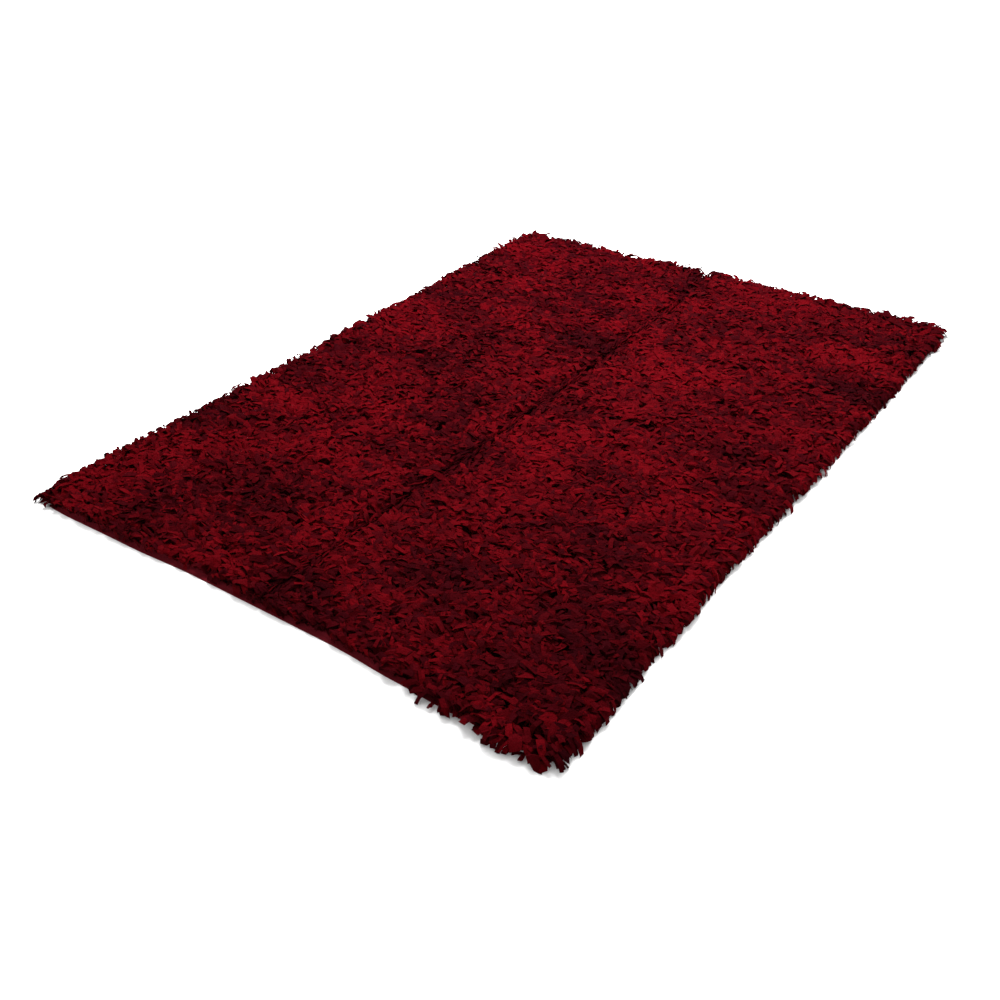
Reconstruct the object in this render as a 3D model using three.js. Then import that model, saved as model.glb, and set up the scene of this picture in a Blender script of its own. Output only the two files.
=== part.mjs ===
// A shag rug: a thick pile of cut cloth strips on a woven ground cloth, lying flat.
// Millimetres, +Z up. X runs across the rug and Y along it; the plain heading that shows is at
// the -Y end. The origin is on the floor, under the middle of the rug's outline.
import * as THREE from "three";
import { mergeVertices } from "three/addons/utils/BufferGeometryUtils.js";

// Driving dimensions.
const CLOTH = { width: 1400, length: 2000, thickness: 2, cornerRound: 5, stations: 28 };
const PILE = {
  height: 31, // mean top of the pile over the floor
  wallTop: 20, // top and bottom of the upright rim that the locks grow from
  wallBottom: 7,
  overhang: 8, // how far that rim stands out over the cloth's sides and back
  heading: 17, // plain cloth that it leaves bare at the front end
  shoulder: 40, // width over which the pile rounds down to its rim
  cornerRound: 15,
  seatInset: 15, // from the rim in to where the pile is down on the cloth
  seatGap: 0.3,
};
const TOP_GRID = { across: 34, along: 48, inset: 12 };
const LOCK = { pitch: 34, width: 20, widthSpread: 4, reach: 18, reachSpread: 7, fan: 0.2 };
const COLOURS = { cloth: 0x4a0c12, pile: 0x7d0d15 };

// How far each edge of the cloth lies outside its plain rectangle. at is the place along the
// edge, from -1 to 1, towards +X on the front and back edges and towards +Y on the sides.
const EDGES = {
  front: [
    { at: -1, out: 10 },
    { at: -0.6, out: 5 },
    { at: -0.3, out: -4 },
    { at: 0.25, out: -5 },
    { at: 0.5, out: 4 },
    { at: 0.65, out: 9 },
    { at: 1, out: 12 },
  ],
  right: [
    { at: -1, out: 6 },
    { at: -0.85, out: 6 },
    { at: -0.7, out: -3 },
    { at: -0.6, out: 2 },
    { at: -0.4, out: -7 },
    { at: -0.15, out: -2 },
    { at: 0.15, out: 3 },
    { at: 0.5, out: 5 },
    { at: 1, out: 3 },
  ],
  back: [
    { at: -1, out: -7 },
    { at: -0.5, out: -3 },
    { at: -0.2, out: 0 },
    { at: 0, out: 5 },
    { at: 0.4, out: 2 },
    { at: 0.75, out: -4 },
    { at: 1, out: 5 },
  ],
  left: [
    { at: -1, out: -5 },
    { at: -0.8, out: 1 },
    { at: -0.37, out: -5 },
    { at: 0, out: -3 },
    { at: 0.12, out: 5 },
    { at: 0.38, out: -6 },
    { at: 0.6, out: 4 },
    { at: 0.8, out: 8 },
    { at: 1, out: 6 },
  ],
};

// Troughs left by folding: one along the rug's middle, and shallower ones across it, each from
// one place to another, with a low shoulder on both sides.
const FOLDS = [
  { fromX: -12, fromY: -1000, toX: 0, toY: -350, width: 27, depth: 11, shoulder: 2.5 },
  { fromX: 0, fromY: -350, toX: 6, toY: 150, width: 27, depth: 11, shoulder: 2.5 },
  { fromX: 6, fromY: 150, toX: -6, toY: 480, width: 27, depth: 11, shoulder: 2.5 },
  { fromX: -6, fromY: 480, toX: 2, toY: 700, width: 28, depth: 10, shoulder: 3.5 },
  { fromX: 2, fromY: 700, toX: -42, toY: 1000, width: 28, depth: 9, shoulder: 4 },
  { fromX: 10, fromY: 44, toX: 660, toY: 32, width: 30, depth: 6, shoulder: 2 },
  { fromX: -640, fromY: -30, toX: -40, toY: 78, width: 30, depth: 5, shoulder: 1 },
  { fromX: 60, fromY: 470, toX: 680, toY: 452, width: 24, depth: 5, shoulder: 1 },
  { fromX: -620, fromY: 500, toX: -90, toY: 488, width: 24, depth: 3.5, shoulder: 1 },
  { fromX: 40, fromY: -560, toX: 640, toY: -548, width: 26, depth: 4, shoulder: 1 },
  { fromX: 20, fromY: 872, toX: 620, toY: 866, width: 26, depth: 4, shoulder: 1 },
];

// Lumps of the pile, as waves that cross each other.
const LUMPS = [
  { length: 97, heading: 0.35, shift: 0.4, height: 1.5 },
  { length: 123, heading: 1.92, shift: 2.1, height: 1.7 },
  { length: 171, heading: 1.21, shift: 4.4, height: 1.4 },
  { length: 214, heading: 2.63, shift: 1.3, height: 1.3 },
  { length: 460, heading: 0.82, shift: 5.2, height: 1.1 },
];

// A lock's sections from its root at the rim outwards: reach and width as shares of the whole
// lock's, low and high in millimetres over the floor, or over the cloth on the heading.
const LYING_LOCK = [
  { reach: 0.4, width: 0.95, low: 5.5, high: 11 },
  { reach: 0.72, width: 0.9, low: 0, high: 4.5 },
  { reach: 1, width: 0.6, low: 0, high: 2.5 },
];
const PROUD_LOCK = [
  { reach: 0.45, width: 1, low: 9, high: 17 },
  { reach: 0.8, width: 0.9, low: 11, high: 16 },
  { reach: 1, width: 0.55, low: 12, high: 14.5 },
];

// A seeded run of numbers from 0 to 1, the same each time.
function seededNumbers(seed) {
  let state = seed;
  return () => {
    state = (state + 0x6d2b79f5) | 0;
    let mixed = Math.imul(state ^ (state >>> 15), 1 | state);
    mixed = (mixed + Math.imul(mixed ^ (mixed >>> 7), 61 | mixed)) ^ mixed;
    return ((mixed ^ (mixed >>> 14)) >>> 0) / 4294967296;
  };
}

// The edge's offset at a place along it, on a smooth line through the table's rows.
function edgeOut(edge, at) {
  const rows = EDGES[edge];
  const place = THREE.MathUtils.clamp(at, -1, 1);
  const next = Math.max(1, rows.findIndex((row) => row.at >= place));
  const [before, after] = [rows[next - 1], rows[next]];
  const share = THREE.MathUtils.smoothstep(place, before.at, after.at);
  return THREE.MathUtils.lerp(before.out, after.out, share);
}

// The plan position of a place on the rug. s and t run from -1 to 1 across and along it, and the
// outline there is the cloth's, moved out by margins.side, margins.front and margins.back.
function planPoint(s, t, margins, cornerRound) {
  const left = -CLOTH.width / 2 - edgeOut("left", t) - margins.side;
  const right = CLOTH.width / 2 + edgeOut("right", t) + margins.side;
  const front = -CLOTH.length / 2 - edgeOut("front", s) - margins.front;
  const back = CLOTH.length / 2 + edgeOut("back", s) + margins.back;
  const towardsCorner = Math.abs(s * t) ** 24;
  return new THREE.Vector2(
    THREE.MathUtils.lerp(left, right, (s + 1) / 2) - Math.sign(s) * cornerRound * towardsCorner,
    THREE.MathUtils.lerp(front, back, (t + 1) / 2) - Math.sign(t) * cornerRound * towardsCorner,
  );
}

// The same, for the pile, on a line that is inset from its rim.
function pilePoint(s, t, inset) {
  const margins = {
    side: PILE.overhang - inset,
    front: -PILE.heading - inset,
    back: PILE.overhang - inset,
  };
  return planPoint(s, t, margins, PILE.cornerRound);
}

function lumpHeight(place) {
  return LUMPS.reduce((sum, wave) => {
    const along = place.x * Math.cos(wave.heading) + place.y * Math.sin(wave.heading);
    return sum + wave.height * Math.sin((2 * Math.PI * along) / wave.length + wave.shift);
  }, 0);
}

// How far the folds lower the pile here: a trough with a low shoulder on each side of it.
function foldDepth(place) {
  return FOLDS.reduce((deepest, fold) => {
    const from = new THREE.Vector2(fold.fromX, fold.fromY);
    const line = new THREE.Vector2(fold.toX, fold.toY).sub(from);
    const share = THREE.MathUtils.clamp(place.clone().sub(from).dot(line) / line.lengthSq(), 0, 1);
    const apart = from.addScaledVector(line, share).distanceTo(place) / fold.width;
    const trough = fold.depth * Math.exp(-apart * apart);
    const shoulder = fold.shoulder * Math.exp(-((apart - 2.2) ** 2));
    return Math.abs(trough - shoulder) > Math.abs(deepest) ? trough - shoulder : deepest;
  }, 0);
}

function pileTop(place, fromRim) {
  const full = PILE.height + lumpHeight(place) - foldDepth(place);
  const share = Math.min(fromRim / PILE.shoulder, 1);
  return THREE.MathUtils.lerp(PILE.wallTop, full, Math.sqrt(1 - (1 - share) ** 2));
}

// Vertices and triangles of one closed mesh, as it is made.
class MeshMaker {
  points = [];
  triangles = [];

  point(plan, z) {
    this.points.push(plan.x, plan.y, z);
    return this.points.length / 3 - 1;
  }

  triangle(a, b, c) {
    this.triangles.push(a, b, c);
  }

  quad(a, b, c, d) {
    this.triangle(a, b, c);
    this.triangle(a, c, d);
  }

  // Joins two loops that run the same way round from the same corner, each an array of
  // { index, around } with around from 0 to 4. The outer one is on the right of the way round.
  stitch(outer, inner) {
    let i = 0;
    let j = 0;
    const reach = (loop, n) => (n < loop.length ? loop[n].around : 4);
    const index = (loop, n) => loop[n % loop.length].index;
    while (i < outer.length || j < inner.length) {
      const outerIsNext = reach(outer, i + 1) <= reach(inner, j + 1);
      if (j >= inner.length || (i < outer.length && outerIsNext)) {
        this.triangle(index(outer, i), index(outer, i + 1), index(inner, j));
        i += 1;
      } else {
        this.triangle(index(outer, i), index(inner, j + 1), index(inner, j));
        j += 1;
      }
    }
  }

  geometry() {
    const made = new THREE.BufferGeometry();
    made.setAttribute("position", new THREE.Float32BufferAttribute(this.points, 3));
    made.setIndex(this.triangles);
    made.computeVertexNormals();
    return made;
  }
}

// A place on the square's edge: side 0 is the front, then right, back and left.
function squareEdge(side, share) {
  const run = 2 * share - 1;
  return [
    [run, -1],
    [1, run],
    [-run, 1],
    [-1, -run],
  ][side];
}

// The marks around the pile's rim. Each starts a stretch up to the next one, and startsLock is
// true where that stretch is drawn out into a lock.
function rimMarks(random) {
  const marks = [];
  for (let side = 0; side < 4; side += 1) {
    const length = side % 2 ? CLOTH.length : CLOTH.width;
    const count = Math.floor(length / LOCK.pitch);
    marks.push({ side, share: 0, startsLock: false });
    for (let n = 0; n < count; n += 1) {
      const width = LOCK.width + LOCK.widthSpread * (2 * random() - 1);
      const middle = ((n + 0.5) * length) / count + LOCK.widthSpread * (random() - 0.5);
      marks.push({ side, share: (middle - width / 2) / length, startsLock: true });
      marks.push({ side, share: (middle + width / 2) / length, startsLock: false });
    }
  }
  return marks;
}

// Draws the upright stretch between two marks out into a lock, with a flat tip.
function addLock(maker, here, next, random) {
  const onHeading = here.side === 0;
  const rows = !onHeading && random() < 0.5 ? PROUD_LOCK : LYING_LOCK;
  const across = next.plan.clone().sub(here.plan);
  const middle = here.plan.clone().add(next.plan).multiplyScalar(0.5);
  const outwards = new THREE.Vector2(across.y, -across.x).normalize();
  outwards.rotateAround(new THREE.Vector2(), LOCK.fan * (2 * random() - 1));
  const reach = LOCK.reach + LOCK.reachSpread * (2 * random() - 1);
  const floor = onHeading ? CLOTH.thickness + PILE.seatGap : 0;
  let ring = [here.low, next.low, next.high, here.high];
  for (const row of rows) {
    const centre = middle.clone().addScaledVector(outwards, reach * row.reach);
    const start = centre.clone().addScaledVector(across, -row.width / 2);
    const end = centre.clone().addScaledVector(across, row.width / 2);
    const section = [
      maker.point(start, floor + row.low),
      maker.point(end, floor + row.low),
      maker.point(end, floor + row.high),
      maker.point(start, floor + row.high),
    ];
    for (let n = 0; n < 4; n += 1) {
      const after = (n + 1) % 4;
      maker.quad(ring[n], ring[after], section[after], section[n]);
    }
    ring = section;
  }
  maker.quad(ring[0], ring[1], ring[2], ring[3]);
}

// Grid lines across the pile's top: one close to each rim, the rest evenly spread.
function gridLines(count, length) {
  const first = (2 * (PILE.shoulder - TOP_GRID.inset)) / length;
  const even = Array.from({ length: count - 1 }, (_, n) => -1 + first + (n * (2 - 2 * first)) / (count - 2));
  return [-1, ...even, 1];
}

// The outline of the top grid, the same way round as the rim and from the same corner.
function gridOutline(grid, lines) {
  const last = { s: lines.s.length - 1, t: lines.t.length - 1 };
  const loop = [];
  const add = (side, index, run) => loop.push({ index, around: side + (run + 1) / 2 });
  for (let i = 0; i < last.s; i += 1) add(0, grid[i][0], lines.s[i]);
  for (let j = 0; j < last.t; j += 1) add(1, grid[last.s][j], lines.t[j]);
  for (let i = last.s; i > 0; i -= 1) add(2, grid[i][last.t], -lines.s[i]);
  for (let j = last.t; j > 0; j -= 1) add(3, grid[0][j], -lines.t[j]);
  return loop;
}

function pileGeometry() {
  const random = seededNumbers(41);
  const maker = new MeshMaker();
  const { across, along, inset } = TOP_GRID;
  const lines = { s: gridLines(across, CLOTH.width), t: gridLines(along, CLOTH.length) };
  const grid = lines.s.map((s) =>
    lines.t.map((t) => {
      const place = pilePoint(s, t, inset);
      const toSide = ((1 - Math.abs(s)) * CLOTH.width) / 2;
      const toEnd = ((1 - Math.abs(t)) * CLOTH.length) / 2;
      return maker.point(place, pileTop(place, inset + Math.min(toSide, toEnd)));
    }),
  );
  for (let i = 0; i < across; i += 1) {
    for (let j = 0; j < along; j += 1) {
      maker.quad(grid[i][j], grid[i + 1][j], grid[i + 1][j + 1], grid[i][j + 1]);
    }
  }
  const rim = rimMarks(random).map((mark) => {
    const plan = pilePoint(...squareEdge(mark.side, mark.share), 0);
    const low = maker.point(plan, PILE.wallBottom);
    const high = maker.point(plan, PILE.wallTop);
    return { ...mark, plan, low, high, around: mark.side + mark.share };
  });
  const ofRim = (level) => rim.map((mark) => ({ index: mark[level], around: mark.around }));
  const top = gridOutline(grid, lines);
  maker.stitch(ofRim("high"), top);
  rim.forEach((here, n) => {
    const next = rim[(n + 1) % rim.length];
    if (here.startsLock) addLock(maker, here, next, random);
    else maker.quad(here.low, next.low, next.high, here.high);
  });

  const seatZ = CLOTH.thickness + PILE.seatGap;
  const seatPlan = top.map(({ around }) => {
    const side = Math.floor(around);
    return pilePoint(...squareEdge(side, around - side), PILE.seatInset);
  });
  const seat = top.map(({ around }, n) => ({ index: maker.point(seatPlan[n], seatZ), around }));
  const below = new MeshMaker();
  below.stitch(ofRim("low"), seat);
  for (let n = 0; n < below.triangles.length; n += 3) {
    const [a, b, c] = below.triangles.slice(n, n + 3);
    maker.triangle(a, c, b);
  }
  for (const [a, b, c] of THREE.ShapeUtils.triangulateShape(seatPlan, [])) {
    maker.triangle(seat[a].index, seat[c].index, seat[b].index);
  }
  return maker.geometry();
}

function clothGeometry() {
  const outline = [];
  const margins = { side: 0, front: 0, back: 0 };
  for (let side = 0; side < 4; side += 1) {
    for (let n = 0; n < CLOTH.stations; n += 1) {
      const [s, t] = squareEdge(side, n / CLOTH.stations);
      outline.push(planPoint(s, t, margins, CLOTH.cornerRound));
    }
  }
  const sheet = new THREE.ExtrudeGeometry(new THREE.Shape(outline), {
    depth: CLOTH.thickness,
    bevelEnabled: false,
  });
  sheet.deleteAttribute("normal");
  sheet.deleteAttribute("uv");
  const closed = mergeVertices(sheet);
  closed.computeVertexNormals();
  return closed;
}

function fabricMesh(name, geometry, color) {
  const material = new THREE.MeshStandardMaterial({ color, roughness: 0.92, metalness: 0 });
  const mesh = new THREE.Mesh(geometry, material);
  mesh.name = name;
  return mesh;
}

const rug = new THREE.Group();
rug.add(fabricMesh("ground_cloth", clothGeometry(), COLOURS.cloth));
rug.add(fabricMesh("shag_pile", pileGeometry(), COLOURS.pile));

// The origin goes under the middle of the whole outline, locks included.
const middle = new THREE.Box3().setFromObject(rug).getCenter(new THREE.Vector3());
rug.position.set(-middle.x, -middle.y, 0);

export default rug;
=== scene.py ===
"""A shag rug: cut cloth strips knotted through a woven ground cloth, lying flat on a pale floor.

Lengths are in metres. The rug's own plan has its middle at (0, 0), X across it and Y along it,
with the plain heading that shows at its -Y end; to_row() moves that plan into the row frame.
"""

import math

import bpy
import numpy as np
from mathutils import Matrix, Vector


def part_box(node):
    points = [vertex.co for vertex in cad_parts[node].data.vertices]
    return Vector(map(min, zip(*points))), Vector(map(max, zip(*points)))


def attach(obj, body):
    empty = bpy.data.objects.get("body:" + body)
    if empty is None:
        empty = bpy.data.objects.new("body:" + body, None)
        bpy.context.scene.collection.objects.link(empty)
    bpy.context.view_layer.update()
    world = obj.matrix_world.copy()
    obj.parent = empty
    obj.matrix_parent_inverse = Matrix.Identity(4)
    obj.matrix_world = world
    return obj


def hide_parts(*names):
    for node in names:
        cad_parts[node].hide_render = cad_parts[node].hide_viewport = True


MM = 0.001
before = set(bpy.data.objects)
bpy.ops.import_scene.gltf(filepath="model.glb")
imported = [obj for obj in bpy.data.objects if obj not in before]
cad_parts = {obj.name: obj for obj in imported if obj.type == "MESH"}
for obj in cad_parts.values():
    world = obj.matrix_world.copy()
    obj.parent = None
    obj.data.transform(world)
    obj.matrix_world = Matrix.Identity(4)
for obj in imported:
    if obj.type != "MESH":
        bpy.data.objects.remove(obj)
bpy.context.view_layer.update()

# The cloth and the pile, as the part's source has them.
WIDTH, LENGTH = 1.4, 2.0
PILE_HEIGHT, HEADING = 31 * MM, 17 * MM
CLOTH_CORNER = 5 * MM

# How far each edge lies outside its plain line, in mm, by its place along the edge.
EDGES = {
    "front": ((-1, -0.6, -0.3, 0.25, 0.5, 0.65, 1), (10, 5, -4, -5, 4, 9, 12)),
    "right": ((-1, -0.85, -0.7, -0.6, -0.4, -0.15, 0.15, 0.5, 1), (6, 6, -3, 2, -7, -2, 3, 5, 3)),
    "back": ((-1, -0.5, -0.2, 0, 0.4, 0.75, 1), (-7, -3, 0, 5, 2, -4, 5)),
    "left": ((-1, -0.8, -0.37, 0, 0.12, 0.38, 0.6, 0.8, 1), (-5, 1, -5, -3, 5, -6, 4, 8, 6)),
}
# Fold troughs: from x, y, to x, y, width, depth and shoulder height, in mm.
FOLDS = (
    (-12, -1000, 0, -350, 22, 10, 2.5),
    (0, -350, 6, 150, 22, 11, 2.5),
    (6, 150, -6, 480, 22, 10, 2.5),
    (-6, 480, 2, 700, 22, 9.5, 3),
    (2, 700, -42, 1000, 22, 9.5, 3),
    (10, 44, 660, 32, 30, 4, 2),
    (-640, -30, -40, 78, 30, 3.5, 1),
    (60, 470, 680, 452, 24, 3.5, 1),
    (-620, 500, -90, 488, 24, 2.5, 1),
    (40, -560, 640, -548, 26, 3, 1),
    (20, 872, 620, 866, 26, 2.5, 1),
)
# The folds' effect on the strips: the depth in mm of a fold of full effect, how far from its line
# a fold parts the strips, turns them lengthwise and darkens their colour as painted shade, further
# on the -X side, and where its shoulder is, as a share of its width.
FULL_FOLD = 10.5
PARTED, TURNED, PAINTED_SHADE_LEFT, PAINTED_SHADE_RIGHT = 42 * MM, 14 * MM, 32 * MM, 19 * MM
SHOULDER_AT = 2.2
# Painted shade and light: patches where the pile lies the other way and looks darker or lighter under the
# light, painted into the strips' colour: x, y, half sizes, shade.
PAINTED_SHADING_PATCHES = (
    (-270, -20, 260, 75, -0.26),
    (-150, 560, 260, 110, -0.16),
    (560, 800, 130, 60, -0.3),
    (440, 430, 230, 45, -0.22),
    (420, -50, 70, 28, -0.35),
    (565, -110, 60, 28, -0.3),
    (430, 20, 330, 40, -0.16),
    (470, -780, 250, 230, -0.24),
    (160, 320, 150, 90, 0.22),
    (200, -150, 260, 90, 0.14),
    (-180, -520, 130, 60, 0.16),
    (-250, -260, 170, 60, 0.14),
    (170, 120, 190, 560, 0.2),
    (510, 350, 190, 450, 0.08),
    (-175, 330, 190, 260, -0.1),
    (-500, -430, 200, 260, 0.16),
    (0, -850, 700, 120, -0.06),
    (525, -500, 150, 150, -0.06),
    (-175, 833, 150, 130, 0.1),
    (170, 540, 150, 150, 0.08),
    (-525, 167, 150, 150, 0.07),
    (-175, -167, 130, 130, 0.06),
    (175, -500, 140, 140, 0.06),
)
# Lumps: wave length in mm, heading and shift in radians, height in mm.
LUMPS = (
    (97, 0.35, 0.4, 1.5),
    (123, 1.92, 2.1, 1.7),
    (171, 1.21, 4.4, 1.4),
    (214, 2.63, 1.3, 1.3),
    (460, 0.82, 5.2, 1.1),
)
# How many sine waves a smooth random field is made of.
FIELD_WAVES = 9


def edge_out(edge, at):
    """How far the edge lies outside its plain line at a place from -1 to 1 along it."""
    places, outs = (np.array(row, float) for row in EDGES[edge])
    place = np.clip(at, -1, 1)
    row = np.clip(np.searchsorted(places, place), 1, len(places) - 1)
    share = (place - places[row - 1]) / (places[row] - places[row - 1])
    share = share * share * (3 - 2 * share)
    return (outs[row - 1] + (outs[row] - outs[row - 1]) * share) * MM


def plan_points(s, t, side=0.0, front=0.0, back=0.0):
    """Plan positions of places on the rug, where s and t run from -1 to 1 across and along it."""
    s, t = np.broadcast_arrays(np.asarray(s, float), np.asarray(t, float))
    left = -WIDTH / 2 - edge_out("left", t) - side
    right = WIDTH / 2 + edge_out("right", t) + side
    near = -LENGTH / 2 - edge_out("front", s) - front
    far = LENGTH / 2 + edge_out("back", s) + back
    rounding = CLOTH_CORNER * np.clip(np.abs(s * t), 0, 1.1) ** 24
    return np.stack(
        (
            left + (right - left) * (s + 1) / 2 - np.sign(s) * rounding,
            near + (far - near) * (t + 1) / 2 - np.sign(t) * rounding,
        ),
        axis=-1,
    )


def fold_pull(plan):
    """How far the folds lower the pile, how they part and turn its strips, and the shade they paint into the
    strips' colour.
    """
    depth, paint_of_shade_and_light = np.zeros(len(plan)), np.zeros(len(plan))
    away, along = np.zeros_like(plan), np.zeros_like(plan)
    for x0, y0, x1, y1, width, deep, shoulder in FOLDS:
        start, end = np.array((x0, y0)) * MM, np.array((x1, y1)) * MM
        line = end - start
        share = np.clip((plan - start) @ line / (line @ line), 0, 1)
        offset = plan - (start + share[:, None] * line)
        gap = np.linalg.norm(offset, axis=1)
        apart = gap / (width * MM)
        here = (deep * np.exp(-apart * apart) - shoulder * np.exp(-((apart - SHOULDER_AT) ** 2))) * MM
        depth = np.where(np.abs(here) > np.abs(depth), here, depth)
        effect = deep / FULL_FOLD
        parting = effect * np.exp(-((gap / PARTED) ** 2))
        turning = effect * np.exp(-((gap / TURNED) ** 2))
        away += offset / np.maximum(gap, 1e-6)[:, None] * parting[:, None]
        along += line / np.linalg.norm(line) * turning[:, None]
        # Painted shade: near a fold the strips' colour is darkened, further on the -X side.
        painted_shade_reach = np.where(offset[:, 0] < 0, PAINTED_SHADE_LEFT, PAINTED_SHADE_RIGHT)
        paint_of_shade_and_light = np.maximum(paint_of_shade_and_light, effect * np.exp(-((gap / painted_shade_reach) ** 2)))
    return depth, away, along, paint_of_shade_and_light


def patch_painted_shading(plan):
    """How much lighter or darker the patches paint the strips here, as painted light and shade."""
    return sum(
        paint_of_shade_and_light * np.exp(-(((plan[:, 0] / MM - x) / wide) ** 2) - ((plan[:, 1] / MM - y) / long) ** 2)
        for x, y, wide, long, paint_of_shade_and_light in PAINTED_SHADING_PATCHES
    )


def lump_height(plan):
    """How far the lumps lift the pile here."""
    total = np.zeros(len(plan))
    for length, heading, shift, height in LUMPS:
        along = plan[:, 0] * math.cos(heading) + plan[:, 1] * math.sin(heading)
        total += height * MM * np.sin(2 * math.pi * along / (length * MM) + shift)
    return total


def smooth_field(plan, random, wave, stretch=1.0):
    """A smooth random field over the plan, about -1 to 1, with hills about a wave apart in Y."""
    total = np.zeros(len(plan))
    for _ in range(FIELD_WAVES):
        heading = random.uniform(0, 2 * math.pi)
        size = wave * random.uniform(0.7, 1.5)
        along = plan[:, 0] / stretch * math.cos(heading) + plan[:, 1] * math.sin(heading)
        total += np.sin(2 * math.pi * along / size + random.uniform(0, 2 * math.pi))
    return total / math.sqrt(FIELD_WAVES)


# The move from the rug's own plan to the row frame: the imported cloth's box against this one's.
_run = np.linspace(-1, 1, 801)
_one = np.ones_like(_run)
_outline = np.concatenate(
    [plan_points(_run, -_one), plan_points(_one, _run), plan_points(_run, _one), plan_points(-_one, _run)]
)
cloth_low, cloth_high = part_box("ground_cloth")
SHIFT = np.array(
    (
        (cloth_low.x + cloth_high.x - _outline[:, 0].min() - _outline[:, 0].max()) / 2,
        (cloth_low.y + cloth_high.y - _outline[:, 1].min() - _outline[:, 1].max()) / 2,
        0,
    )
)


def to_row(points):
    """Moves points from the rug's own plan to the row frame."""
    return points + SHIFT


# Mesh and material helpers.


def mesh_object(name, points, quads, uvs):
    """A mesh object from arrays of points and quads; uvs maps a UV map's name to its corners."""
    mesh = bpy.data.meshes.new(name)
    mesh.vertices.add(len(points))
    mesh.vertices.foreach_set("co", np.ascontiguousarray(points, np.float32).ravel())
    mesh.loops.add(quads.size)
    mesh.loops.foreach_set("vertex_index", np.ascontiguousarray(quads, np.int32).ravel())
    mesh.polygons.add(len(quads))
    mesh.polygons.foreach_set("loop_start", np.arange(0, quads.size, 4, dtype=np.int32))
    mesh.polygons.foreach_set("use_smooth", np.ones(len(quads), bool))
    mesh.update(calc_edges=True)
    for map_name, corners in uvs.items():
        layer = mesh.uv_layers.new(name=map_name)
        layer.data.foreach_set("uv", np.ascontiguousarray(corners, np.float32).ravel())
    piece = bpy.data.objects.new(name, mesh)
    bpy.context.scene.collection.objects.link(piece)
    return piece


def mark_sharp(piece, is_sharp):
    """Marks the edges for which is_sharp(first vertices, second vertices) is true."""
    mesh = piece.data
    ends = np.zeros(len(mesh.edges) * 2, np.int32)
    mesh.edges.foreach_get("vertices", ends)
    ends = ends.reshape(-1, 2)
    sharp = mesh.attributes.get("sharp_edge") or mesh.attributes.new("sharp_edge", "BOOLEAN", "EDGE")
    sharp.data.foreach_set("value", is_sharp(ends[:, 0], ends[:, 1]))


class Nodes:
    """A short way to build a material's node tree."""

    def __init__(self, name):
        self.material = bpy.data.materials.new(name)
        self.material.use_nodes = True
        self.tree = self.material.node_tree
        self.shader = self.tree.nodes["Principled BSDF"]

    def add(self, kind, **settings):
        node = self.tree.nodes.new(kind)
        for key, value in settings.items():
            setattr(node, key, value)
        return node

    def link(self, source, target):
        self.tree.links.new(source, target)

    def value(self, source, operation, other, clamp=False):
        """A sum on two values, where the second may be a number."""
        node = self.add("ShaderNodeMath", operation=operation, use_clamp=clamp)
        self.link(source, node.inputs[0])
        if isinstance(other, (int, float)):
            node.inputs[1].default_value = other
        else:
            self.link(other, node.inputs[1])
        return node.outputs[0]

    def mix(self, factor, first, second):
        """A mix of two colours, each a socket or a plain colour."""
        node = self.add("ShaderNodeMix", data_type="RGBA", blend_type="MIX")
        for source, socket in ((factor, node.inputs[0]), (first, node.inputs[6]), (second, node.inputs[7])):
            if isinstance(source, (int, float)):
                socket.default_value = source
            elif isinstance(source, tuple):
                socket.default_value = (*source, 1)
            else:
                self.link(source, socket)
        return node.outputs[2]

    def noise(self, vector, scale):
        node = self.add("ShaderNodeTexNoise")
        node.inputs["Scale"].default_value = scale
        node.inputs["Detail"].default_value = 3.0
        node.inputs["Roughness"].default_value = 0.6
        self.link(vector, node.inputs["Vector"])
        return node.outputs["Fac"]

    def bump(self, height, strength, distance):
        node = self.add("ShaderNodeBump")
        node.inputs["Strength"].default_value = strength
        node.inputs["Distance"].default_value = distance
        self.link(height, node.inputs["Height"])
        self.link(node.outputs["Normal"], self.shader.inputs["Normal"])


# Linear base colours. The strips' dye from dark to light, along which painted shade and light also move each
# strip, the mottle in it and the dull burgundy;
# then the weave from low to high, at the hem's edge, painted darker against the light its face catches, on
# the flat heading, painted lighter against the pile's shade, and under the pile, painted darker as its
# shade.
DARK_DYE_AND_PAINTED_SHADE, LIGHT_DYE_AND_PAINTED_LIGHT = (0.0040, 0.0003, 0.0012), (0.116, 0.0011, 0.0033)
MOTTLE, BURGUNDY = (0.032, 0.0003, 0.0010), (0.0245, 0.0006, 0.0019)
EDGE_PAINTED_SHADE_LOW, EDGE_PAINTED_SHADE_HIGH = (0.043, 0.0031, 0.0052), (0.136, 0.0094, 0.0150)
FLAT_PAINTED_LIGHT_LOW, FLAT_PAINTED_LIGHT_HIGH = (0.115, 0.0080, 0.0135), (0.370, 0.0260, 0.0420)
GROUND_PAINTED_SHADE_LOW, GROUND_PAINTED_SHADE_HIGH = (0.012, 0.0003, 0.0009), (0.040, 0.0008, 0.0024)
# Spacings of the knit's ribs and rows, in mm, and of the weave's weft and warp.
RIB, ROW = 1.1, 0.9
WEFT, WARP = 0.0026, 0.0034
# The knit's bump in the strips' cloth, and the weave's: how strong, and how deep.
KNIT_BUMP, WEAVE_BUMP = (0.85, 0.25 * MM), (0.7, 0.35 * MM)


def cloth_shader(nodes, roughness, sheen, tint):
    """Sets the shader to matt cloth with a little sheen."""
    shader = nodes.shader
    shader.inputs["Roughness"].default_value = roughness
    shader.inputs["Specular IOR Level"].default_value = 0.01
    shader.inputs["Sheen Weight"].default_value = sheen
    shader.inputs["Sheen Roughness"].default_value = 0.45
    shader.inputs["Sheen Tint"].default_value = (*tint, 1)


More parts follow.
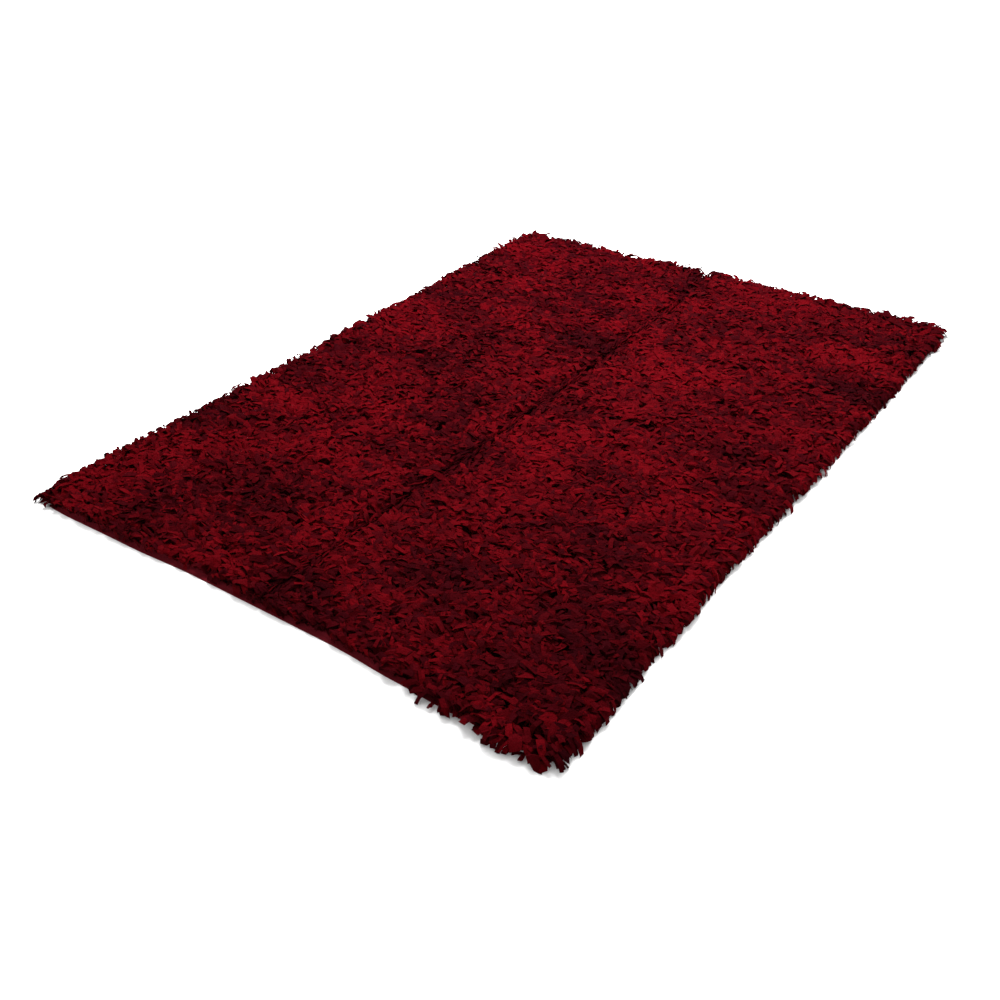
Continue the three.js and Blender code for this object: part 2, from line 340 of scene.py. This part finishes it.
def strip_material():
    """Cut jersey: each strip has its own dye tone, with painted shade and light added, and the knit's fine
    ribs run along it.
    """
    nodes = Nodes("pile_strip_jersey_painted_shading")
    dye_and_painted_shading = nodes.add("ShaderNodeAttribute", attribute_name="dye_and_painted_shading").outputs["Fac"]
    dull = nodes.add("ShaderNodeAttribute", attribute_name="dull").outputs["Fac"]
    cloth = nodes.add("ShaderNodeUVMap", uv_map="cloth_mm").outputs["UV"]
    mottle = nodes.noise(cloth, 0.16)
    red = nodes.mix(dye_and_painted_shading, DARK_DYE_AND_PAINTED_SHADE, LIGHT_DYE_AND_PAINTED_LIGHT)
    red = nodes.mix(nodes.value(mottle, "MULTIPLY", 0.5), red, MOTTLE)
    colour = nodes.mix(dull, red, BURGUNDY)
    nodes.link(colour, nodes.shader.inputs["Base Color"])
    cloth_shader(nodes, 0.9, 0.03, (0.5, 0.01, 0.02))
    parts = nodes.add("ShaderNodeSeparateXYZ")
    nodes.link(cloth, parts.inputs[0])
    ribs = nodes.value(nodes.value(parts.outputs["X"], "MULTIPLY", 2 * math.pi / RIB), "SINE", 0)
    rows = nodes.value(nodes.value(parts.outputs["Y"], "MULTIPLY", 2 * math.pi / ROW), "SINE", 0)
    knit = nodes.value(nodes.value(ribs, "MULTIPLY", 0.6), "ADD", nodes.value(rows, "MULTIPLY", 0.25))
    stretch = nodes.add("ShaderNodeVectorMath", operation="MULTIPLY")
    nodes.link(cloth, stretch.inputs[0])
    stretch.inputs[1].default_value = (0.32, 0.17, 1)
    crumple = nodes.value(nodes.noise(stretch.outputs[0], 1.0), "MULTIPLY", 30.0)
    nodes.bump(nodes.value(knit, "ADD", crumple), *KNIT_BUMP)
    return nodes.material


def weave_material():
    """The ground cloth: a plain weave of thick weft over thin warp, with painted shade at the hem's edge and
    under the pile and painted light on the heading near the pile.
    """
    nodes = Nodes("ground_weave_cloth_painted_shading")
    place = nodes.add("ShaderNodeTexCoord").outputs["Object"]
    parts = nodes.add("ShaderNodeSeparateXYZ")
    nodes.link(place, parts.inputs[0])
    weft = nodes.value(nodes.value(parts.outputs["Y"], "MULTIPLY", 2 * math.pi / WEFT), "SINE", 0)
    warp = nodes.value(nodes.value(parts.outputs["X"], "MULTIPLY", 2 * math.pi / WARP), "SINE", 0)
    over = nodes.value(nodes.value(weft, "MULTIPLY", warp), "ADD", nodes.value(weft, "MULTIPLY", 0.6))
    yarn = nodes.noise(place, 420.0)
    height = nodes.value(over, "ADD", nodes.value(yarn, "MULTIPLY", 0.8))
    level = nodes.value(nodes.value(height, "MULTIPLY", 0.25), "ADD", 0.35, clamp=True)
    behind = nodes.add("ShaderNodeAttribute", attribute_name="behind").outputs["Fac"]
    # Painted light and shade: across the heading the weave goes from darker at its edge, against the light
    # the edge catches, to lighter near the pile, against the shade the pile casts.
    inner = nodes.value(nodes.value(behind, "MULTIPLY", 1 / HEADING), "ADD", -0.1, clamp=True)
    # Painted shade: where the pile starts, the weave goes to a much darker colour under it.
    painted_shade_under_pile = nodes.value(nodes.value(behind, "MULTIPLY", 1 / (10 * MM)), "ADD", -2.6, clamp=True)
    edge = nodes.mix(level, EDGE_PAINTED_SHADE_LOW, EDGE_PAINTED_SHADE_HIGH)
    flat = nodes.mix(level, FLAT_PAINTED_LIGHT_LOW, FLAT_PAINTED_LIGHT_HIGH)
    heading = nodes.mix(inner, edge, flat)
    ground = nodes.mix(level, GROUND_PAINTED_SHADE_LOW, GROUND_PAINTED_SHADE_HIGH)
    nodes.link(nodes.mix(painted_shade_under_pile, heading, ground), nodes.shader.inputs["Base Color"])
    cloth_shader(nodes, 0.92, 0.04, (0.6, 0.04, 0.06))
    nodes.bump(height, *WEAVE_BUMP)
    return nodes.material


# The pile's strips.

KNOT_ROW, KNOT_PITCH = 10.45 * MM, 16.5 * MM
RIM_PITCH, CREASE_PITCH = 4 * MM, 1.15 * MM
RING_PLACES = np.array((0, 0.5, 0.77, 1))
RING_WIDTHS = np.array((0.55, 0.95, 1, 0.98))
RINGS, ROUND = len(RING_PLACES), 4
STRIP_LENGTH, STRIP_WIDTH, STRIP_THICKNESS = 53 * MM, 11.3 * MM, 1.4 * MM
# The strips' lines start this far over the floor, and the rim's strips stand this near the edge.
START_HEIGHT, RIM_ZONE = 4 * MM, 38 * MM
# The place across the rug where the front end's loose strips start, and what share they take.
LOOSE_FROM, LOOSE_SHARE = 0.46, 0.27
# Folds that are at least this deep, in mm, have strips lying along them, about this far off.
CREASED_FROM, CREASE_SPREAD = 9, 8.5 * MM
# How far a knot is off its place, as a share of the spacing.
KNOT_JITTER = 0.16
# Where the right edge swells near its back end, and how much further its roots and strips go.
SWELL_AT, SWELL_SPAN = 0.92, 0.05
ROOT_SWELL, REACH_SWELL = 10 * MM, 16 * MM
# How far around the left front corner its strips move out and lean low.
CORNER_ZONE = 100 * MM
SEED = 20
BANDS = 5


def knot_places(random):
    """Where the knots are: (s, t) of each, in staggered rows across the rug."""
    rows = int((LENGTH - HEADING) / KNOT_ROW)
    columns = int(WIDTH / KNOT_PITCH)
    t = np.linspace(-1, 1, rows)[:, None] * np.ones(columns)
    stagger = (np.arange(rows) % 2)[:, None] * 0.5 + 0.25
    s = -1 + 2 * (np.arange(columns)[None, :] + stagger) / columns
    s = s + random.normal(0, KNOT_JITTER, s.shape) * 2 / columns
    t = t + random.normal(0, KNOT_JITTER, t.shape) * 2 / rows
    return np.clip(s, -0.996, 0.996).ravel(), np.clip(t, -0.998, 0.998).ravel()


def rim_places(random):
    """Where the closer strips of the rim are rooted: (s, t) of each."""
    end, edge, corner_count = 0.998, 0.997, 60
    places = []
    for length, first, placed in (
        (LENGTH, -1, lambda run, out: (out, run)),
        (WIDTH, -1, lambda run, out: (run, out)),
        (LENGTH, -1, lambda run, out: (-out, run)),
        (LOOSE_SHARE * WIDTH, LOOSE_FROM, lambda run, out: (run, -out)),
    ):
        count = int(length / RIM_PITCH)
        run = np.linspace(first * end, end, count) + random.normal(0, 0.001, count)
        places.append(placed(run, np.full(count, edge)))
    corner_s = np.abs(random.normal(0, 0.03, corner_count)) - end
    corner_t = np.abs(random.normal(0, 0.02, corner_count)) - end
    places.append((corner_s, corner_t))
    return np.concatenate([p[0] for p in places]), np.concatenate([p[1] for p in places])


def crease_roots(random):
    """Where the strips that lie along the long crease are rooted, in plan."""
    roots = []
    for x0, y0, x1, y1, _, deep, _ in FOLDS:
        if deep < CREASED_FROM:
            continue
        start, end = np.array((x0, y0)) * MM, np.array((x1, y1)) * MM
        count = int(np.linalg.norm(end - start) / CREASE_PITCH)
        along = (np.arange(count) + random.random(count)) / count
        line = start + along[:, None] * (end - start)
        slow, quick = np.sin(line[:, 1] / (31 * MM)), np.sin(line[:, 1] / (12 * MM))
        line[:, 0] += 2 * MM + 4 * MM * slow + 2.5 * MM * quick
        roots.append(line + random.normal(0, CREASE_SPREAD, (count, 2)))
    low, high = (-WIDTH / 2, -LENGTH / 2 + HEADING), (WIDTH / 2, LENGTH / 2 - 3 * MM)
    return np.concatenate(roots).clip(None, high).clip(low)


def strip_roots(random):
    """Where the strips are rooted: (s, t) and plan place of each, how many belong to pairs, and
    which belong to the rim and to a crease."""
    s, t = (np.repeat(place, 2) for place in knot_places(random))
    rim_s, rim_t = rim_places(random)
    pairs = len(s)
    s, t = np.concatenate((s, rim_s)), np.concatenate((t, rim_t))
    root = plan_points(s, t, side=-2 * MM, front=-HEADING, back=1 * MM)
    creased = crease_roots(random)
    root = np.concatenate((root, creased))
    s = np.concatenate((s, creased[:, 0] / (WIDTH / 2)))
    t = np.concatenate((t, creased[:, 1] / (LENGTH / 2)))
    number = np.arange(len(s))
    of_crease = number >= len(s) - len(creased)
    of_rim = (number >= pairs) & ~of_crease
    root += random.normal(0, 1.5 * MM, root.shape)
    return s, t, root, pairs, of_rim, of_crease


def make_strips(random):
    """Root, lean, bend, size and colour of every strip, as a dict of arrays."""
    s, t, root, pairs, of_rim, of_crease = strip_roots(random)
    n = len(s)
    depth, away, along, _ = fold_pull(root)
    in_fold = np.clip(np.linalg.norm(along, axis=1), 0, 1)

    # The lean, across and along the rug: the two strips of a knot fall apart, clumps lean together,
    # and at a fold the strips part or lie along it.
    heading = random.uniform(0, 2 * math.pi, n)
    heading[1:pairs:2] = heading[0:pairs:2] + math.pi + random.normal(0, 0.5, pairs // 2)
    lean = np.stack((1.25 * np.cos(heading), 0.75 * np.sin(heading)), axis=1)
    clump = np.stack([smooth_field(root, random, 55 * MM, 2.2) for _ in range(2)], axis=1)
    lean = (lean + 0.5 * clump) * (1 - 0.75 * in_fold[:, None])
    parted = np.linalg.norm(away, axis=1)
    outward = away / np.maximum(parted, 1e-6)[:, None]
    across = np.minimum((lean * outward).sum(axis=1), 0) * np.clip(4 * parted - 1.2, 0, 1)
    lean -= across[:, None] * outward
    at_back_end = np.clip(1 - (1 - t) * LENGTH / (120 * MM), 0, 1)
    opening = (1.7 - 1.15 * of_crease) * (1 - 0.8 * at_back_end)
    lean += away * opening[:, None] + 4.5 * along * random.choice((-1, -1, -1, 1), n)[:, None]

    # At the rim the strips lean out, and their roots move to where the rug's edges are fullest.
    to_side = (1 - np.abs(s)) * WIDTH / 2
    to_front, to_back = (1 + t) * LENGTH / 2, (1 - t) * LENGTH / 2
    at_side, at_front, at_back = (np.clip(1 - d / RIM_ZONE, 0, 1) for d in (to_side, to_front, to_back))
    near_rim = np.maximum(at_side, 0.6 * np.maximum(at_front, at_back))
    lean[:, 0] += (1.0 + of_rim) * np.sign(s) * at_side
    lean[:, 1] += (1.0 + of_rim) * at_back
    loose = np.clip((s - 0.5) / 0.25, 0, 1)
    root[:, 1] -= (11 + 10 * np.clip((s - 0.7) / 0.2, 0, 1)) * MM * loose * at_front
    # At the sides and the back the roots follow the pile's own fullness, and at the left front
    # corner they stand out as a tuft.
    at_left = at_side * (s < 0)
    root[:, 0] -= (11 * at_left + 4 * at_side * (s > 0) * (1 - at_front)) * MM
    root[:, 1] += 3 * MM * at_back
    swell = at_side * (s > 0) * np.exp(-(((t - SWELL_AT) / SWELL_SPAN) ** 2))
    root[:, 0] += ROOT_SWELL * swell
    at_corner = np.clip(1 - np.hypot(root[:, 0] + WIDTH / 2, root[:, 1] + LENGTH / 2) / CORNER_ZONE, 0, 1)
    root -= np.array((14 * MM, 8 * MM)) * at_corner[:, None]
    held = (1 - loose) * at_front
    lean[:, 1] = np.where(lean[:, 1] < 0, lean[:, 1] * (1 - 0.7 * held), lean[:, 1]) - 0.7 * loose * at_front
    azimuth = np.arctan2(lean[:, 1], lean[:, 0])

    # Size, height and bend.
    length = random.normal(STRIP_LENGTH, 7 * MM, n).clip(36 * MM, 72 * MM)
    length = np.where(of_rim, length * 0.68, length)
    calm = np.clip(root[:, 0] / (80 * MM) + 0.5, 0, 1)
    width = (STRIP_WIDTH * np.exp(random.normal(0, 0.3, n))).clip(4.5 * MM, 27 * MM) * (1 - 0.58 * in_fold)
    width = np.where(of_crease, 0.8 * width, width)
    full = PILE_HEIGHT + lump_height(root) - depth * np.where(of_crease, 0.35, 1)
    high = full * (1.0 - (0.23 - 0.05 * calm) * random.random(n) ** 1.3) * (1 - 0.05 * near_rim**2)
    start = np.radians(random.normal(64, 10, n) + 16 * near_rim - 25 * at_corner).clip(0.4, 1.5)
    finish = np.radians(random.normal(-14, 15, n)) - near_rim * 0.7
    high = np.where(of_rim, high * random.uniform(0.35, 0.95, n), high) * (1 - 0.2 * at_corner)

    # How far past the cloth's edge a strip may reach, then its dye, with painted shade and light added to
    # it.
    burgundy = random.random(n) < 0.13 + 0.06 * smooth_field(root, random, 110 * MM, 2.0)
    limit = (26 + 12 * at_left + 15 * at_back + 7 * loose * at_front) * MM + random.normal(0, 2 * MM, n)
    limit += 3 * MM * smooth_field(root, random, 60 * MM) + 2 * MM * at_back * at_side
    limit += np.where(random.random(n) < 0.02, 12 * MM, 0) * (1 - at_back) + REACH_SWELL * swell
    seen = root + 0.45 * length[:, None] * np.stack((np.cos(azimuth), np.sin(azimuth)), axis=1)
    # Painted shade and light: where each strip is seen, the patches lighten or darken it and the folds
    # darken it.
    dye_and_painted_shading = 0.02 + random.beta(1.2, 1.2, n) + 1.2 * patch_painted_shading(seen) - 0.3 * fold_pull(seen)[3]
    # Painted shade: the strands in the crease and the loose strips hanging over the front rim, whose sides
    # lie in shadow, are darkened.
    dye_and_painted_shading -= 0.16 * of_crease + 0.35 * loose * at_front
    dye_and_painted_shading += 0.35 * smooth_field(root, random, 115 * MM, 3.5) + 0.3 * smooth_field(root, random, 50 * MM, 6.0)
    dye_and_painted_shading += 0.2 * smooth_field(root, random, 250 * MM, 2.4)
    return {
        "root": root,
        "azimuth": azimuth,
        "turn": random.normal(0, 0.5, n) * (1 - 0.7 * in_fold),
        "start": start,
        "finish": finish,
        "roll": random.normal(0, 0.24, n) * (1 - 0.25 * calm) + random.normal(0, 0.5, n) * in_fold,
        "twist": random.normal(0, 0.34, n) * (1 - 0.25 * calm) * (1 - 0.6 * in_fold),
        "fold": np.where(random.random(n) < 0.6, random.normal(0, 0.14, n), random.normal(0, 0.04, n)),
        "cut": random.normal(0, 0.28, n),
        "ripple": random.normal(0, 1.9 * MM, (n, RINGS, 3)) * (1 - 0.6 * in_fold)[:, None, None],
        "limit": limit,
        "length": length,
        "width": width,
        "high": high,
        "dye_and_painted_shading": 1 / (1 + np.exp(-3.2 * (dye_and_painted_shading - 0.5))),
        "dull": np.where(burgundy, random.uniform(0.65, 1, n), random.uniform(0, 0.12, n)),
    }


def strip_points(strips):
    """The corners of every strip's rings, as an array (strips, rings, 4, 3)."""
    n = len(strips["length"])
    place = RING_PLACES[None, :]
    bend = (strips["finish"] - strips["start"])[:, None]
    tilt = strips["start"][:, None] + bend * (1 - (1 - place) ** 1.5)
    turn = strips["azimuth"][:, None] + strips["turn"][:, None] * (place - 0.3) * 1.6
    steps = np.diff(RING_PLACES)[None, :] * strips["length"][:, None]
    mid_tilt, mid_turn = (tilt[:, 1:] + tilt[:, :-1]) / 2, (turn[:, 1:] + turn[:, :-1]) / 2
    flat = steps * np.cos(mid_tilt)
    moves = np.stack((flat * np.cos(mid_turn), flat * np.sin(mid_turn), steps * np.sin(mid_tilt)), axis=2)
    line = np.concatenate((np.zeros((n, 1, 3)), np.cumsum(moves, axis=1)), axis=1)
    top = line[:, :, 2].max(axis=1)
    line[:, :, 2] *= ((strips["high"] - START_HEIGHT) / np.maximum(top, 8 * MM))[:, None]
    line[:, :, :2] += strips["root"][:, None, :]
    line[:, :, 2] += START_HEIGHT

    tangent = np.gradient(line, axis=1)
    tangent /= np.linalg.norm(tangent, axis=2, keepdims=True)
    side = np.stack((-np.sin(turn), np.cos(turn), np.zeros_like(turn)), axis=2)
    up = np.cross(tangent, side)
    roll = strips["roll"][:, None] + strips["twist"][:, None] * (place - 0.3)
    across = np.cos(roll)[..., None] * side + np.sin(roll)[..., None] * up
    normal = np.cos(roll)[..., None] * up - np.sin(roll)[..., None] * side
    half = (strips["width"][:, None] * RING_WIDTHS / 2)[..., None]
    ripple = strips["ripple"] * RING_PLACES[None, :, None]
    ridge = (strips["fold"] * strips["width"])[:, None, None] * RING_WIDTHS[None, :, None] + ripple[..., 2:]
    slant = (strips["cut"] * strips["width"] / 2)[:, None, None] * (place**4)[..., None] * tangent
    thick = STRIP_THICKNESS / 2
    return np.stack(
        (
            line - across * half - slant + normal * ripple[..., :1],
            line + normal * (ridge + thick),
            line + across * half + slant + normal * ripple[..., 1:2],
            line + normal * (ridge - thick),
        ),
        axis=2,
    )


def settle(points, outline_gap):
    """Keeps points over the cloth, and beyond its edge over the floor, without flattening them."""
    over_cloth = np.clip(1 - outline_gap / (5 * MM), 0, 1)
    lowest = 0.9 * MM + over_cloth * 2.4 * MM
    soft = 1.1 * MM
    above = (points[..., 2] - lowest) / soft
    points[..., 2] = lowest + soft * np.logaddexp(0, above)
    return points


def beyond_cloth(points):
    """How far outside the cloth's outline each point is, 0 over the cloth."""
    x, y = points[..., 0], points[..., 1]
    s, t = np.clip(x / (WIDTH / 2), -1, 1), np.clip(y / (LENGTH / 2), -1, 1)
    out_x = np.where(x > 0, x - WIDTH / 2 - edge_out("right", t), -x - WIDTH / 2 - edge_out("left", t))
    out_y = np.where(y > 0, y - LENGTH / 2 - edge_out("back", s), -y - LENGTH / 2 - edge_out("front", s))
    return np.maximum(np.maximum(out_x, out_y), 0)


def within_rim(points, strips):
    """Holds the strips' reach over both sides and the back to that of their own limit."""
    s, t = np.clip(points[..., 0] / (WIDTH / 2), -1, 1), np.clip(points[..., 1] / (LENGTH / 2), -1, 1)
    soft, limit = 3 * MM, strips["limit"][:, None, None]
    for axis, sign, edge in (
        (0, 1, WIDTH / 2 + edge_out("right", t)),
        (0, -1, WIDTH / 2 + edge_out("left", t)),
        (1, 1, LENGTH / 2 + edge_out("back", s)),
    ):
        room = edge + limit - sign * points[..., axis]
        points[..., axis] = sign * (edge + limit - soft * np.logaddexp(0, room / soft))
    return points


def behind_hem(points, strips):
    """Keeps the strips behind the front hem, but for those near the +X corner, which hang over it."""
    s = np.clip(points[..., 0] / (WIDTH / 2), -1, 1)
    place = strips["root"][:, 0] / (WIDTH / 2)
    reach = strips["limit"] * np.clip(np.maximum((place - 0.42) / 0.3, (-0.9 - place) / 0.08), 0, 1)
    over = reach[:, None, None]
    hem = -LENGTH / 2 - edge_out("front", s) + 3 * MM - over
    soft = 2.5 * MM
    points[..., 1] = hem + soft * np.logaddexp(0, (points[..., 1] - hem) / soft)
    return points


def strip_quads(count):
    """The faces of that many strips, each closed: 4 along every segment, and both ends."""
    quads = []
    for ring in range(RINGS - 1):
        here, there = ring * ROUND, (ring + 1) * ROUND
        for n in range(ROUND):
            after = (n + 1) % ROUND
            quads.append((here + n, there + n, there + after, here + after))
    last = (RINGS - 1) * ROUND
    quads += [(0, 1, 2, 3), (last, last + 3, last + 2, last + 1)]
    return (np.array(quads)[None] + (np.arange(count) * RINGS * ROUND)[:, None, None]).reshape(-1, 4)


def strip_uvs(strips, random):
    """An atlas map with a cell for each strip, and a map in mm for the knit."""
    count = len(strips["length"])
    columns = math.ceil(math.sqrt(count * 0.5))
    rows = math.ceil(count / columns)
    along = RING_PLACES
    atlas, cloth = [], []
    for ring in range(RINGS - 1):
        low, high = along[ring], along[ring + 1]
        for n in range(ROUND):
            face, left = divmod(n, 2)
            u0, u1 = (left * 0.5, left * 0.5 + 0.5) if face == 0 else (1 - left * 0.5, 0.5 - left * 0.5)
            atlas.append([(face, u0, low), (face, u0, high), (face, u1, high), (face, u1, low)])
            cloth.append([(u0, low), (u0, high), (u1, high), (u1, low)])
    for end in (0.0, 1.0):
        atlas.append([(0, 0.0, end), (0, 0.5, end), (0, 1.0, end), (0, 0.5, end)])
        cloth.append([(0, end), (0.5, end), (1, end), (0.5, end)])
    atlas, cloth = np.array(atlas, float), np.array(cloth, float)
    cell = np.arange(count)
    corner = np.stack((cell % columns, cell // columns), axis=1)[:, None, None, :]
    atlas_u = atlas[..., 0] * 0.5 + 0.04 + atlas[..., 1] * 0.42
    within = np.stack((atlas_u, 0.06 + atlas[..., 2] * 0.88), axis=-1)
    atlas_uv = (corner + within[None]) / np.array((columns, rows))
    size = np.stack((strips["width"], strips["length"]), axis=1)[:, None, None, :] / MM
    offset = random.uniform(0, 500, (count, 1, 1, 2))
    return atlas_uv.reshape(-1, 2), (cloth[None] * size + offset).reshape(-1, 2)


def build_pile():
    """All the strips, in pieces that share the slab's place."""
    random = np.random.default_rng(SEED)
    strips = make_strips(random)
    order = np.argsort(strips["root"][:, 1] + random.normal(0, 3 * MM, len(strips["dye_and_painted_shading"])))
    material = strip_material()
    bands = []
    for number, chosen in enumerate(np.array_split(order, BANDS), 1):
        band = {key: value[chosen] for key, value in strips.items()}
        points = strip_points(band)
        points = within_rim(behind_hem(points, band), band)
        points = settle(points, beyond_cloth(points))
        atlas, cloth = strip_uvs(band, random)
        piece = mesh_object(
            f"pile_strips_{number}",
            to_row(points.reshape(-1, 3)),
            strip_quads(len(chosen)),
            {"OFBake": atlas, "cloth_mm": cloth},
        )
        # A strip's long rims are sharp, its middle line where it is folded, and the lines across it
        # where it is creased.
        folded = np.abs(band["fold"]) > 0.06
        creased = band["cut"] > -0.2
        for name in ("dye_and_painted_shading", "dull"):
            layer = piece.data.attributes.new(name, "FLOAT", "POINT")
            layer.data.foreach_set("value", np.repeat(band[name], RINGS * ROUND).astype(np.float32))

        def is_sharp(first, second, folded=folded, creased=creased):
            corner, strip = first % ROUND, first // (RINGS * ROUND)
            ring = first // ROUND % RINGS
            around = ring == second // ROUND % RINGS
            across = around & ((ring == 0) | (ring == RINGS - 1) | creased[strip])
            return across | (~around & ((corner % 2 == 0) | folded[strip]))

        mark_sharp(piece, is_sharp)
        piece.data.materials.append(material)
        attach(piece, "root")
        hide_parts("shag_pile")
        bands.append(piece)
    return bands


# The ground cloth.


def build_cloth():
    """A closed sheet with rounded edges, finer near its outline, with a rolled hem at both ends."""
    edge = np.array((0, 0.6, 1.6, 3.2, 5.5, 9, 14, 20)) * MM
    s_edge, t_edge = 2 * edge / WIDTH, 2 * edge / LENGTH
    s = np.concatenate((-1 + s_edge, np.linspace(-0.965, 0.965, 28), 1 - s_edge[::-1]))
    t = np.concatenate((-1 + t_edge, np.linspace(-0.972, 0.972, 36), 1 - t_edge[::-1]))
    grid_s, grid_t = np.meshgrid(s, t, indexing="ij")
    plan = plan_points(grid_s, grid_t)
    rim = np.minimum((1 - np.abs(grid_s)) * WIDTH, (1 - np.abs(grid_t)) * LENGTH) / 2
    middle = 1.0 * MM
    rounding = np.sqrt(np.clip(1 - (1 - np.clip(rim / (1.6 * MM), 0, 1)) ** 2, 0, 1))
    hem = np.exp(-((((1 - np.abs(grid_t)) * LENGTH / 2 - 5 * MM) / (3 * MM)) ** 2))
    top = middle + rounding * (middle + 0.5 * MM * hem)
    bottom = middle - rounding * middle
    columns, rows = grid_s.shape
    upper = np.concatenate((plan, top[..., None]), axis=2).reshape(-1, 3)
    inner = np.zeros((columns, rows), bool)
    inner[1:-1, 1:-1] = True
    lower_index = np.where(inner, columns * rows + np.cumsum(inner).reshape(inner.shape) - 1, 0)
    index = np.arange(columns * rows).reshape(columns, rows)
    lower_index = np.where(inner, lower_index, index)
    lower = np.concatenate((plan, bottom[..., None]), axis=2)[inner]
    points = np.concatenate((upper, lower))

    def cells(table, flip):
        quad = np.stack((table[:-1, :-1], table[1:, :-1], table[1:, 1:], table[:-1, 1:]), axis=-1)
        return (quad[..., ::-1] if flip else quad).reshape(-1, 4)

    quads = np.concatenate((cells(index, False), cells(lower_index, True)))
    map_half = np.array((0.72, 1.04))
    unit = (points[quads][..., :2] + map_half) / (2 * map_half)
    faces = len(quads) // 2
    unit[:faces, :, 0] = 0.01 + unit[:faces, :, 0] * 0.48
    unit[faces:, :, 0] = 0.51 + unit[faces:, :, 0] * 0.48
    piece = mesh_object("ground_cloth_woven", to_row(points), quads, {"OFBake": unit.reshape(-1, 2)})
    behind = (1 + grid_t) * LENGTH / 2
    layer = piece.data.attributes.new("behind", "FLOAT", "POINT")
    layer.data.foreach_set("value", np.concatenate((behind.ravel(), behind[inner])).astype(np.float32))
    piece.data.materials.append(weave_material())
    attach(piece, "root")
    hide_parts("ground_cloth")
    return piece


# Floor, light and camera.


def build_stage():
    """A plain pale floor."""
    bpy.ops.mesh.primitive_plane_add(size=40)
    floor = bpy.context.object
    floor.name = "floor"
    nodes = Nodes("pale_floor")
    nodes.shader.inputs["Base Color"].default_value = (0.97, 0.97, 0.97, 1)
    nodes.shader.inputs["Roughness"].default_value = 0.9
    nodes.shader.inputs["Specular IOR Level"].default_value = 0.1
    floor.data.materials.append(nodes.material)
    return floor


def area_light(name, place, aim, size, power):
    """A rectangular soft light at a place, turned to its aim."""
    light = bpy.data.lights.new(name, "AREA")
    light.shape = "RECTANGLE"
    light.size, light.size_y = size
    light.energy = power
    lamp = bpy.data.objects.new(name, light)
    lamp.location = place
    lamp.rotation_euler = (Vector(aim) - Vector(place)).to_track_quat("-Z", "Y").to_euler()
    bpy.context.scene.collection.objects.link(lamp)


def build_lights():
    """An even white studio with a soft light over the far half and one over the floor behind."""
    world = bpy.data.worlds.new("studio")
    world.use_nodes = True
    background = world.node_tree.nodes["Background"]
    background.inputs["Color"].default_value = (1, 1, 1, 1)
    background.inputs["Strength"].default_value = 1.0
    bpy.context.scene.world = world
    area_light("key_softbox", place=(-0.25, 0.75, 2.0), aim=(0.1, 0.65, 0), size=(2.2, 1.5), power=150)
    area_light("far_softbox", place=(-3.5, 8.5, 5), aim=(-3.5, 8.5, 0), size=(8, 6), power=600)


def build_camera():
    """The photograph's viewpoint, in the rug's own plan: place, then the three directions."""
    place = np.array((1.442, -2.1456, 1.4423))
    azimuth, elevation, roll = (math.radians(a) for a in (36.33, 33.61, -1.16))
    sensor, focal_pixels, picture_pixels = 36.0, 1131.34, 1000
    level = math.cos(elevation)
    back = Vector((math.sin(azimuth) * level, -math.cos(azimuth) * level, math.sin(elevation)))
    right = (-back).cross(Vector((0, 0, 1))).normalized()
    up = right.cross(-back)
    tilted_right = right * math.cos(roll) + up * math.sin(roll)
    tilted_up = up * math.cos(roll) - right * math.sin(roll)
    data = bpy.data.cameras.new("camera")
    data.sensor_fit, data.sensor_width = "HORIZONTAL", sensor
    data.lens = sensor * focal_pixels / picture_pixels
    data.clip_start, data.clip_end = 0.05, 100
    camera = bpy.data.objects.new("camera", data)
    turn = Matrix((tilted_right, tilted_up, back)).transposed().to_4x4()
    camera.matrix_world = Matrix.Translation(Vector(to_row(place))) @ turn
    bpy.context.scene.collection.objects.link(camera)
    bpy.context.scene.camera = camera


build_camera()
build_lights()
floor = build_stage()
pile_bands = build_pile()
ground = build_cloth()

bpy.context.scene.view_settings.view_transform = "Standard"
